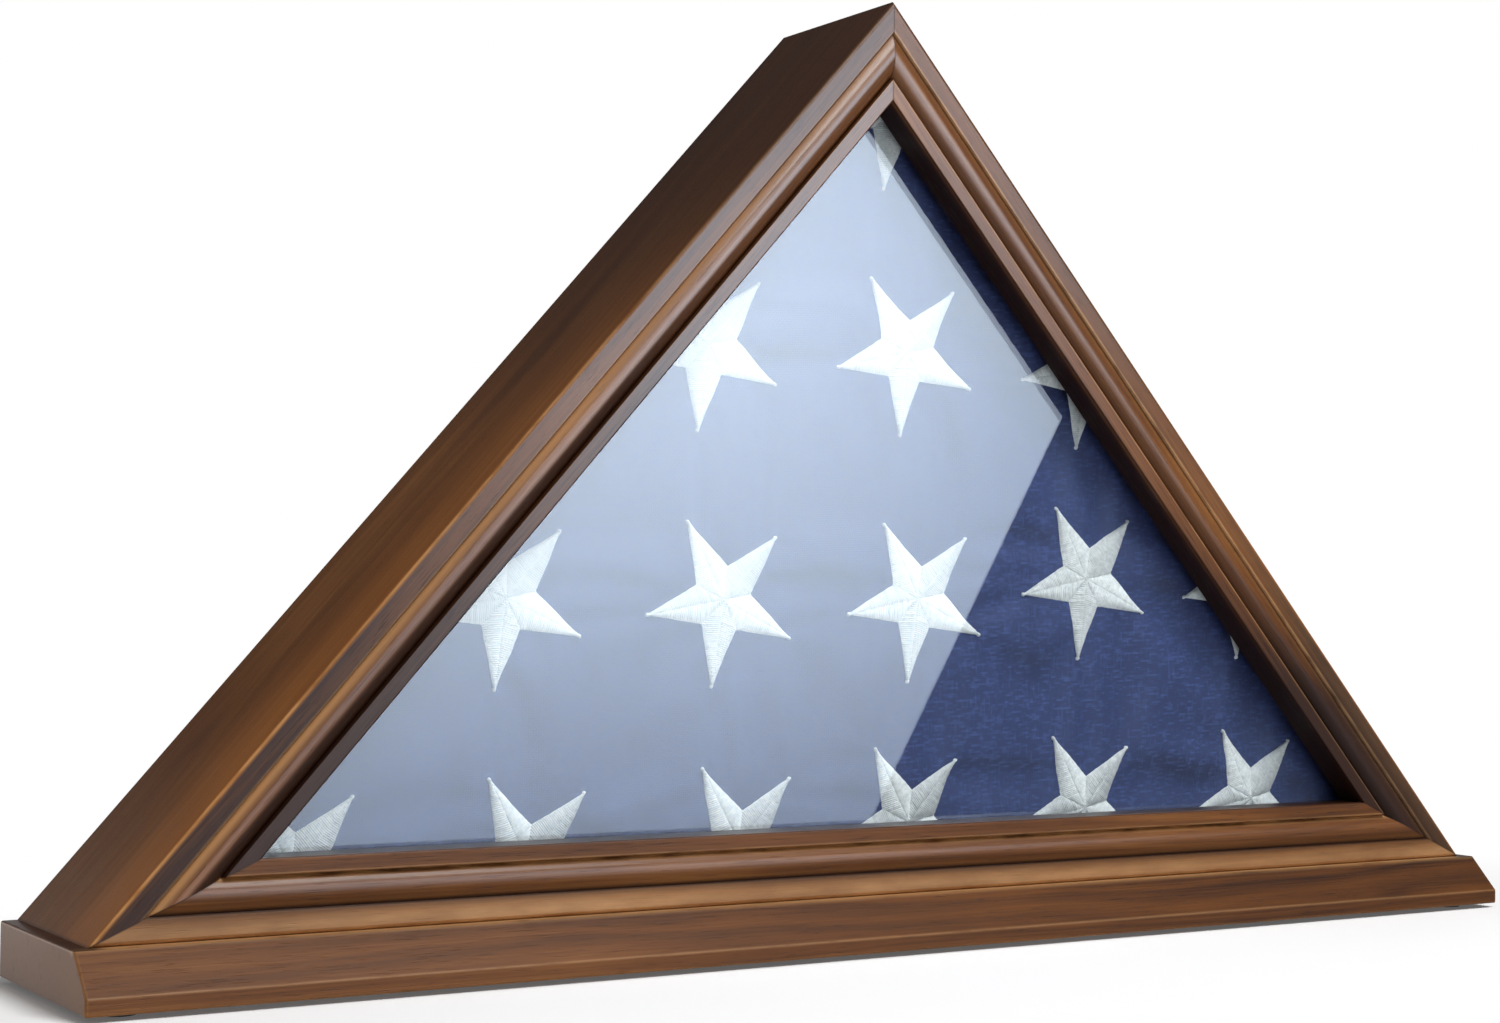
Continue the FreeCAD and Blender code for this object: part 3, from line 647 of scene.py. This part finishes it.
def dress(names, material):
    """Gives carried-over pieces their finish."""
    for name in names:
        nodes[name].material_slots[0].material = material


pine = bare_pine()
for side in SIDES:
    dress([f"{side}_side_board", f"{side}_bead_moulding"], side_walnut(side))
    dress([f"{side}_glass_stop", f"{side}_back_ledge"], pine)
dress(["mitre_splines"], pine)
dress(["base_board"], base_walnut())
dress(["back_panel"], hardboard())
dress(["glass_pane"], clear_glass())
brass = plated("brass_plate", BRASS_BRIGHT, BRASS_DULL)
dress([name for name in nodes if name.startswith("turn_button")] + ["pivot_screws"], brass)
zinc = plated("zinc_steel", ZINC_BRIGHT, ZINC_DULL)
dress(["base_screws", "strip_brads"], zinc)
dress(["rubber_feet"], black_rubber())


# Folded flag

CLOTH_GRID = 3.6 * MM
MERGE_DISTANCE = 0.01 * MM
CLOTH_FRAMES = 20
# Share by which the cloth is slack, share by which stitches draw it in, and the most that it moves
CLOTH_SLACK = 0.018
STITCH_PULL = 0.02
CLOTH_REACH = 2.6 * MM
# Depths behind the flag's front: of what counts as the front, and where the cloth is held
FRONT_DEPTH = 6 * MM
HELD_DEPTH = 9 * MM
# Radius about a star's middle in which it is held, and the stitched margin round its edge
HELD_RADIUS = STAR_RADIUS / 5
STITCHED_MARGIN = 0.7 * MM


def linked(name, data):
    """Puts a mesh, a lamp or a camera in the scene."""
    thing = bpy.data.objects.new(name, data)
    bpy.context.scene.collection.objects.link(thing)
    return thing


def evaluated_mesh(piece):
    """Plain mesh of a piece with its modifiers worked out."""
    bpy.context.view_layer.update()
    return bpy.data.meshes.new_from_object(piece.evaluated_get(bpy.context.evaluated_depsgraph_get()))


def star_places():
    """Middles of the stars (x, z) whose arms can reach the flag's front."""
    places = []
    for row in STAR_ROWS:
        for column in STAR_COLUMNS:
            middle = STAR_MIDDLE + STAR_ACROSS * column + STAR_UP * row + STAR_SPREAD * row ** 2
            middle += Vector(STAR_MOVES.get((row, column), (0.0, 0.0))) * STAR_ACROSS.x
            height = middle.y - BASE_TOP
            half = HALF_WIDTH * (1 - height / HEIGHT)
            if height > -STAR_RADIUS / 2 and abs(middle.x) < half + STAR_RADIUS / 2:
                places.append(middle)
    return places


def star_edge(x, z, middles):
    """Distance of a point from the nearest star's middle, and how far it lies outside its edge."""
    middle = min(middles, key=lambda place: math.hypot(x - place.x, z - place.y))
    away = math.hypot(x - middle.x, z - middle.y)
    angle = math.atan2(x - middle.x, z - middle.y) - STAR_TURN
    off_spine = abs((angle + ARM_STEP / 2) % ARM_STEP - ARM_STEP / 2)
    outside = away * math.sin(off_spine) - ARM_SLOPE * (STAR_RADIUS - away * math.cos(off_spine))
    return away, outside


def flag_blank():
    """Closed, evenly meshed copy of the folded flag's solid."""
    shell = bmesh.new()
    shell.from_mesh(nodes["folded_flag"].data)
    bmesh.ops.remove_doubles(shell, verts=shell.verts, dist=MERGE_DISTANCE)
    mesh = bpy.data.meshes.new("folded_flag_cloth")
    shell.to_mesh(mesh)
    shell.free()
    blank = linked("folded_flag_cloth", mesh)
    remesh = blank.modifiers.new("even", "REMESH")
    remesh.mode = "VOXEL"
    remesh.voxel_size = CLOTH_GRID
    even = evaluated_mesh(blank)
    blank.modifiers.clear()
    blank.data = even
    bpy.data.meshes.remove(mesh)
    return blank


def simulate_cloth(flag):
    """Lets the slack front of the flag pucker between its stars, whose stitches pull it in."""
    middles = star_places()
    held = flag.vertex_groups.new(name="held")
    stitched = flag.vertex_groups.new(name="stitched")
    for vertex in flag.data.vertices:
        x, y, z = vertex.co
        behind_front = y - flag_low.y
        away, outside = star_edge(x, z, middles)
        on_front = behind_front < FRONT_DEPTH
        if behind_front > HELD_DEPTH or (on_front and away < HELD_RADIUS):
            held.add([vertex.index], 1.0, "REPLACE")
        if on_front and outside < STITCHED_MARGIN:
            stitched.add([vertex.index], 1.0, "REPLACE")
    cloth = flag.modifiers.new("cloth", "CLOTH")
    settings = cloth.settings
    settings.effector_weights.gravity = 0.0
    settings.quality = 6
    settings.mass = 0.12
    settings.tension_stiffness = 30
    settings.compression_stiffness = 30
    settings.shear_stiffness = 10
    settings.bending_stiffness = 5
    settings.bending_stiffness_max = 40
    settings.vertex_group_bending = "stitched"
    settings.shrink_min = -CLOTH_SLACK
    settings.shrink_max = STITCH_PULL
    settings.vertex_group_shrink = "stitched"
    settings.vertex_group_mass = "held"
    cloth.point_cache.frame_end = CLOTH_FRAMES
    for step in range(1, CLOTH_FRAMES + 1):
        bpy.context.scene.frame_set(step)
    settled = evaluated_mesh(flag)
    flag.modifiers.remove(cloth)
    bpy.context.scene.frame_set(1)
    for vertex, moved in zip(flag.data.vertices, settled.vertices):
        shift = moved.co - vertex.co
        if shift.length > 0:
            vertex.co += shift.normalized() * CLOTH_REACH * math.tanh(shift.length / CLOTH_REACH)
    bpy.data.meshes.remove(settled)


def smooth_shaded(piece):
    for face in piece.data.polygons:
        face.use_smooth = True


def make_flag():
    """Folded flag as one soft, closed piece with a puckered front."""
    flag = flag_blank()
    simulate_cloth(flag)
    soften = flag.modifiers.new("soften", "SMOOTH")
    soften.iterations = 2
    finer = flag.modifiers.new("finer", "SUBSURF")
    finer.levels = 1
    finer.render_levels = 1
    fine = evaluated_mesh(flag)
    flag.modifiers.clear()
    coarse, flag.data = flag.data, fine
    bpy.data.meshes.remove(coarse)
    flag.vertex_groups.clear()
    flag.data.materials.clear()
    flag.data.materials.append(navy_cloth())
    smooth_shaded(flag)
    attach(flag, "case")
    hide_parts("folded_flag")
    return flag


# Embroidered stars

FACETS = 2 * ARMS
STITCHES_PER_FACET = 42
STITCH_LEAN = 0.17
STITCH_HALF_WIDTH = 0.46 * MM
STITCH_HEIGHT = 0.7 * MM
RIDGE_HEIGHT = 0.9 * MM
RIDGE_SOFTNESS = 0.5 * MM
KNOT_RADIUS = 0.85 * MM
STAR_SWAY = 0.035
# Place in front of the case from which the stars are dropped on the cloth
DROP_FROM = -1.0
# Cloth this far behind the flag's front has rolled away and carries no stitches
ROLLED_AWAY = 4 * MM


def group_input(tree, name, kind, default=None):
    """Adds a named input to a geometry tree."""
    socket = tree.interface.new_socket(name, in_out="INPUT", socket_type=kind)
    if default is not None:
        socket.default_value = default
    return socket


def drawn(grow, low, high, index, seed):
    """Random number between two others for each index, from a fixed seed."""
    sockets = {2: low, 3: high, "ID": index, "Seed": seed}
    return grow.add("FunctionNodeRandomValue", sockets=sockets, out=1)


def with_tone(grow, threads, tone):
    """Stores a tone on each stitch or knot, for the finish of the thread."""
    return grow.add(
        "GeometryNodeStoreNamedAttribute",
        {"data_type": "FLOAT", "domain": "INSTANCE"},
        {"Geometry": threads, "Name": "stitch_tone", "Value": tone},
    )


def stitch_shape(grow):
    """Unit stitch along X: a blunt thread that bulges towards the front and is open at the back."""
    sockets = {"Size X": 2.0, "Size Y": 2.0, "Vertices X": 4, "Vertices Y": 4}
    patch = grow.add("GeometryNodeMeshGrid", sockets=sockets)
    x, y = grow.split(grow.add("GeometryNodeInputPosition"))[:2]
    blunt = grow.math("SIGN", x) * (grow.math("ABSOLUTE", x) ** 0.3)
    bulge = (1 - x * x) * (1 - y * y)
    return grow.add(
        "GeometryNodeSetPosition", sockets={"Geometry": patch, "Position": grow.join(blunt, bulge * -1.3, y)})


def facet_width(grow, along, radius, lean):
    """Length of a leaning stitch from an arm's spine to its edge or to the crease beside the next arm."""
    notch_slope = math.tan(ARM_STEP / 2)
    inner = along * (notch_slope / (math.cos(lean) - notch_slope * math.sin(lean)))
    outer = (radius - along) * (ARM_SLOPE / (math.cos(lean) + ARM_SLOPE * math.sin(lean)))
    return grow.math("MINIMUM", inner, outer)


def sewn_facets(grow, given, index):
    """Leaning stitches of the two facets of each arm, from the arm's spine to its edge."""
    count = float(STITCHES_PER_FACET)
    facet = grow.math("FLOOR", index / count)
    arm = grow.math("FLOOR", facet / 2.0)
    spine = arm * ARM_STEP
    along = given["Radius"] * ((index - facet * count + 0.5) / count)
    length = facet_width(grow, along, given["Radius"], STITCH_LEAN)
    lean = spine + ((facet - arm * 2.0) * 2.0 - 1.0) * (math.pi / 2 - STITCH_LEAN)
    x = along * grow.math("SINE", spine) + length * 0.5 * grow.math("SINE", lean)
    z = along * grow.math("COSINE", spine) + length * 0.5 * grow.math("COSINE", lean)
    middles = {"Count": FACETS * STITCHES_PER_FACET, "Position": grow.join(x, 0.0, z)}
    reach = length * 0.5 * drawn(grow, 0.97, 1.03, index, seed=3) + given["Half Width"] * 0.5
    plump = given["Height"] * drawn(grow, 0.7, 1.2, index, seed=6)
    stitches = grow.add(
        "GeometryNodeInstanceOnPoints",
        sockets={
            "Points": grow.add("GeometryNodePoints", sockets=middles),
            "Instance": stitch_shape(grow),
            "Rotation": grow.join(0.0, lean - math.pi / 2, 0.0),
            "Scale": grow.join(reach, plump, given["Half Width"]),
        },
    )
    # Each stitch has its own random tone; each facet has one too, a painted sheen for the sheen that changes
    # from facet to facet with the thread's direction.
    tone = drawn(grow, 0.0, 0.5, index, seed=8) + drawn(grow, 0.0, 0.5, facet, seed=4)
    return with_tone(grow, stitches, tone)


def tip_knots(grow, given, index):
    """Small knots at the tips of a star's arms."""
    spine = index * ARM_STEP
    x = given["Radius"] * grow.math("SINE", spine)
    z = given["Radius"] * grow.math("COSINE", spine)
    tips = grow.add("GeometryNodePoints", sockets={"Count": ARMS, "Position": grow.join(x, 0.0, z)})
    knot = grow.add("GeometryNodeMeshIcoSphere", sockets={"Radius": given["Knot"], "Subdivisions": 2})
    knots = grow.add("GeometryNodeInstanceOnPoints", sockets={"Points": tips, "Instance": knot})
    return with_tone(grow, knots, 1.0)


def ridged(grow, star, radius, ridge):
    """Raises a star along the spines of its arms."""
    x, y, z = grow.split(grow.add("GeometryNodeInputPosition"))
    off_spine = grow.math("PINGPONG", grow.math("ARCTAN2", x, z), ARM_STEP / 2)
    away = (x * x + z * z) ** 0.5
    across = away * grow.math("SINE", off_spine)
    width = facet_width(grow, away * grow.math("COSINE", off_spine), radius, 0.0)
    rise = grow.math("MAXIMUM", 1 - across / (width + RIDGE_SOFTNESS), 0.0) * ridge
    raised = grow.join(x, y - rise, z)
    return grow.add("GeometryNodeSetPosition", sockets={"Geometry": star, "Position": raised})


def sewn_star(grow, given, index):
    """One star about the origin: the stitches of its facets and the knots at its tips."""
    star = grow.add("GeometryNodeJoinGeometry", sockets={0: sewn_facets(grow, given, index)})
    knots = tip_knots(grow, given, index)
    grow.tree.links.new(knots.socket, star.socket.node.inputs[0])
    star = grow.add("GeometryNodeRealizeInstances", sockets={"Geometry": star})
    return ridged(grow, star, given["Radius"], given["Ridge"])


def laid_on_cloth(grow, stars, cloth):
    """Drops the stars on the cloth from the front, and leaves out what misses its front."""
    x, y, z = grow.split(grow.add("GeometryNodeInputPosition"))
    surface = grow.add(
        "GeometryNodeObjectInfo", {"transform_space": "RELATIVE"}, {"Object": cloth}, out="Geometry")
    ray = {
        "Target Geometry": surface,
        "Source Position": grow.join(x, DROP_FROM, z),
        "Ray Direction": (0.0, 1.0, 0.0),
    }
    hit = grow.add("GeometryNodeRaycast", sockets=ray).socket.node.outputs
    landed = grow.split(Wire(grow, hit["Hit Position"]))[1]
    laid = grow.add(
        "GeometryNodeSetPosition", sockets={"Geometry": stars, "Position": grow.join(x, landed + y, z)})
    missed = grow.add("FunctionNodeBooleanMath", {"operation": "NOT"}, {0: Wire(grow, hit["Is Hit"])})
    rolled = grow.math("GREATER_THAN", y, flag_low.y + ROLLED_AWAY)
    stray = grow.add("FunctionNodeBooleanMath", {"operation": "OR"}, {0: missed, 1: rolled})
    return grow.add("GeometryNodeDeleteGeometry", sockets={"Geometry": laid, "Selection": stray})


def star_tree():
    """Geometry nodes that stitch a star at every point they are given and lay it on the cloth.

    Each arm has two facets, which meet in a ridge along its spine. A facet is filled with leaning
    stitches from the spine to the arm's edge.
    """
    tree = bpy.data.node_groups.new("star_stitches", "GeometryNodeTree")
    inputs = {"Middles": group_input(tree, "Middles", "NodeSocketGeometry")}
    for name, default in (
        ("Radius", STAR_RADIUS),
        ("Turn", STAR_TURN),
        ("Half Width", STITCH_HALF_WIDTH),
        ("Height", STITCH_HEIGHT),
        ("Ridge", RIDGE_HEIGHT),
        ("Knot", KNOT_RADIUS),
    ):
        inputs[name] = group_input(tree, name, "NodeSocketFloat", default)
    inputs["Cloth"] = group_input(tree, "Cloth", "NodeSocketObject")
    inputs["Thread"] = group_input(tree, "Thread", "NodeSocketMaterial")
    tree.interface.new_socket("Stars", in_out="OUTPUT", socket_type="NodeSocketGeometry")
    grow = Tree(tree)
    entry = grow.add("NodeGroupInput").socket.node.outputs
    given = {name: Wire(grow, entry[name]) for name in inputs}
    index = grow.add("GeometryNodeInputIndex")
    sway = drawn(grow, -STAR_SWAY, STAR_SWAY, index, seed=5)
    stars = grow.add(
        "GeometryNodeInstanceOnPoints",
        sockets={
            "Points": given["Middles"],
            "Instance": sewn_star(grow, given, index),
            "Rotation": grow.join(0.0, given["Turn"] + sway, 0.0),
        },
    )
    loose = grow.add("GeometryNodeRealizeInstances", sockets={"Geometry": stars})
    laid = laid_on_cloth(grow, loose, given["Cloth"])
    final = grow.add("GeometryNodeSetMaterial", sockets={"Geometry": laid, "Material": given["Thread"]})
    grow.add("NodeGroupOutput", sockets={0: final})
    return tree, {name: socket.identifier for name, socket in inputs.items()}


def make_stars(flag):
    """Stars stitched on the flag, as one plain mesh."""
    seeds = bpy.data.meshes.new("star_middles")
    seeds.from_pydata([(middle.x, 0.0, middle.y) for middle in star_places()], [], [])
    maker = linked("star_middles", seeds)
    tree, keys = star_tree()
    stitch = maker.modifiers.new("stitch", "NODES")
    stitch.node_group = tree
    stitch[keys["Cloth"]] = flag
    stitch[keys["Thread"]] = white_thread()
    stars = linked("embroidered_star_threads", evaluated_mesh(maker))
    bpy.data.objects.remove(maker)
    smooth_shaded(stars)
    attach(stars, "case")
    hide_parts("embroidered_stars")


make_stars(make_flag())


# Floor, studio cards, light and camera

FLOOR_RADIUS = 40.0
FLOOR_PALE = colour(0.92, 0.92, 0.92)
# Share of plain white in the floor at the case, and the distance over which it grows to all white
FLOOR_WHITE = 0.1
FLOOR_FADE = 0.2


def emission(tree, tint, strength):
    return tree.add("ShaderNodeEmission", sockets={"Color": tint, "Strength": strength})


def shown_rays(tree):
    """1 for rays that show what they meet: seen, mirrored or through glass."""
    path = tree.add("ShaderNodeLightPath").socket.node.outputs
    return tree.largest([Wire(tree, path[f"Is {kind} Ray"]) for kind in ("Camera", "Glossy", "Transmission")])


def make_floor():
    """Pale floor that fades to white away from the case and isn't mirrored in the glass."""
    mesh = bpy.data.meshes.new("floor")
    shape = bmesh.new()
    bmesh.ops.create_circle(shape, cap_ends=True, segments=96, radius=FLOOR_RADIUS)
    shape.to_mesh(mesh)
    shape.free()
    floor = linked("floor", mesh)
    finish = Finish("pale_floor")
    paint = finish.add("ShaderNodeBsdfDiffuse", sockets={"Color": FLOOR_PALE})
    x, y = finish.split(finish.point)[:2]
    beside = finish.math("MAXIMUM", finish.math("ABSOLUTE", x) - base_high.x, 0.0)
    before = finish.math("MAXIMUM", finish.math("ABSOLUTE", y) - base_high.y, 0.0)
    far = finish.smooth((beside * beside + before * before) ** 0.5, 0.0, FLOOR_FADE)
    faded = (far * (1 - FLOOR_WHITE) + FLOOR_WHITE) * shown_rays(finish)
    white = emission(finish, WHITE, 1.0)
    mixed = finish.add("ShaderNodeMixShader", sockets={0: faded, 1: paint, 2: white})
    floor.data.materials.append(finish.show(mixed))
    floor.visible_glossy = False


def make_card(name, corners, material):
    """Flat studio card that is mirrored in the glass and the lacquer, but isn't seen itself."""
    mesh = bpy.data.meshes.new(name)
    mesh.from_pydata(corners, [], [tuple(range(len(corners)))])
    card = linked(name, mesh)
    card.data.materials.append(material)
    card.visible_camera = False
    card.visible_diffuse = False


# Bright card in front of the case: its distance, its left edge, and the foot and the head of its
# slanting right edge, as (x, z). It is brighter higher up, and fades towards the right.
SKY_Y = -2.0
SKY_LEFT = -0.3
SKY_EDGE_FOOT = (1.198, -0.45)
SKY_EDGE_HEAD = (2.212, 1.3)
SKY_RISE = (-0.5, 0.6)
SKY_FADE = (1.1, 1.9)
SKY_DIM = colour(1.03, 1.18, 1.34)
SKY_BRIGHT = colour(6.7, 7.65, 8.75)

# Dark cards in front of the case, behind it, above, on its right and below: brightness and corners
DARK_CARDS = {
    "dark_front_card": (0.05, [(1.0, -2.1, -0.9), (4.2, -2.1, -0.9), (4.2, -2.1, 1.6), (1.0, -2.1, 1.6)]),
    "dark_back_card": (0.1, [(-2.2, 1.6, 0.35), (2.2, 1.6, 0.35), (2.2, 1.2, 2.0), (-2.2, 1.2, 2.0)]),
    "dark_top_card": (0.3, [(-2.2, 1.2, 2.0), (2.2, 1.2, 2.0), (2.2, -0.7, 2.3), (-2.2, -0.7, 2.3)]),
    "dark_right_card": (0.15, [(2.3, -2.0, -0.5), (2.3, 1.6, -0.5), (2.3, 1.6, 2.3), (2.3, -2.0, 2.3)]),
    "dark_under_card": (0.3, [(-4, -4, -0.5), (4, -4, -0.5), (4, 4, -0.5), (-4, 4, -0.5)]),
}


def sky_finish():
    """Pale sky, brightest high on its left and dimmer towards its right edge and its foot."""
    finish = Finish("sky_card")
    x, _, z = finish.split(finish.point)
    rise = finish.smooth(z, *SKY_RISE)
    fade = 1 - finish.smooth(x, *SKY_FADE) * 0.5
    tint = finish.mix(rise * fade, SKY_DIM, SKY_BRIGHT)
    return finish.show(emission(finish, tint, 1.0))


def dark_finish(brightness):
    finish = Finish("dark_card")
    return finish.show(emission(finish, WHITE, brightness))


def make_cards():
    (foot_x, foot_z), (head_x, head_z) = SKY_EDGE_FOOT, SKY_EDGE_HEAD
    outline = [(SKY_LEFT, foot_z), (foot_x, foot_z), (head_x, head_z), (SKY_LEFT, head_z)]
    make_card("sky_card", [(x, SKY_Y, z) for x, z in outline], sky_finish())
    for name, (brightness, corners) in DARK_CARDS.items():
        make_card(name, corners, dark_finish(brightness))


KEY_PLACE = Vector((0.3, -1.0, 1.6))
KEY_POWER = 37.0
REAR_PLACE = Vector((1.1, 1.7, 0.9))
REAR_POWER = 16.0
LAMP_SIZE = 1.0
# Strength of the world's light on the object, where a strength of 1 is white
WORLD_LIGHT = 0.16


def make_lamp(name, place, power):
    """Large soft lamp that faces the case."""
    data = bpy.data.lights.new(name, "AREA")
    data.size = LAMP_SIZE
    data.energy = power
    lamp = linked(name, data)
    lamp.location = place
    lamp.rotation_euler = place.to_track_quat("Z", "Y").to_euler()


def make_world():
    """White to look at, and a softer white as light."""
    world = bpy.data.worlds.new("studio")
    bpy.context.scene.world = world
    world.use_nodes = True
    tree = Tree(world.node_tree)
    strength = shown_rays(tree) * (1 - WORLD_LIGHT) + WORLD_LIGHT
    light = tree.add("ShaderNodeBackground", sockets={"Color": WHITE, "Strength": strength})
    tree.add("ShaderNodeOutputWorld", sockets={"Surface": light})


CAMERA_PLACE = Vector((-580.2, -868.4, 144.3)) * MM
CAMERA_HEADING = math.radians(31.69)
CAMERA_PITCH = math.radians(1.614)
CAMERA_ROLL = math.radians(0.552)
CAMERA_LENS = 61.39


def make_camera():
    """Camera at the photograph's viewpoint: heading to the right of +Y, pitch up, roll."""
    level = math.cos(CAMERA_PITCH)
    across, ahead = math.sin(CAMERA_HEADING) * level, math.cos(CAMERA_HEADING) * level
    forward = Vector((across, ahead, math.sin(CAMERA_PITCH)))
    right = forward.cross(Vector((0, 0, 1))).normalized()
    right.rotate(Matrix.Rotation(-CAMERA_ROLL, 3, forward))
    up = right.cross(forward)
    data = bpy.data.cameras.new("camera")
    data.sensor_fit = "HORIZONTAL"
    data.sensor_width = 36.0
    data.lens = CAMERA_LENS
    data.clip_start = 0.01
    camera = linked("camera", data)
    turn = Matrix((right, up, -forward)).transposed().to_4x4()
    camera.matrix_world = Matrix.Translation(CAMERA_PLACE) @ turn
    bpy.context.scene.camera = camera


make_floor()
make_cards()
make_lamp("key", KEY_PLACE, KEY_POWER)
make_lamp("rear", REAR_PLACE, REAR_POWER)
make_world()
make_camera()
bpy.context.scene.view_settings.view_transform = "Standard"
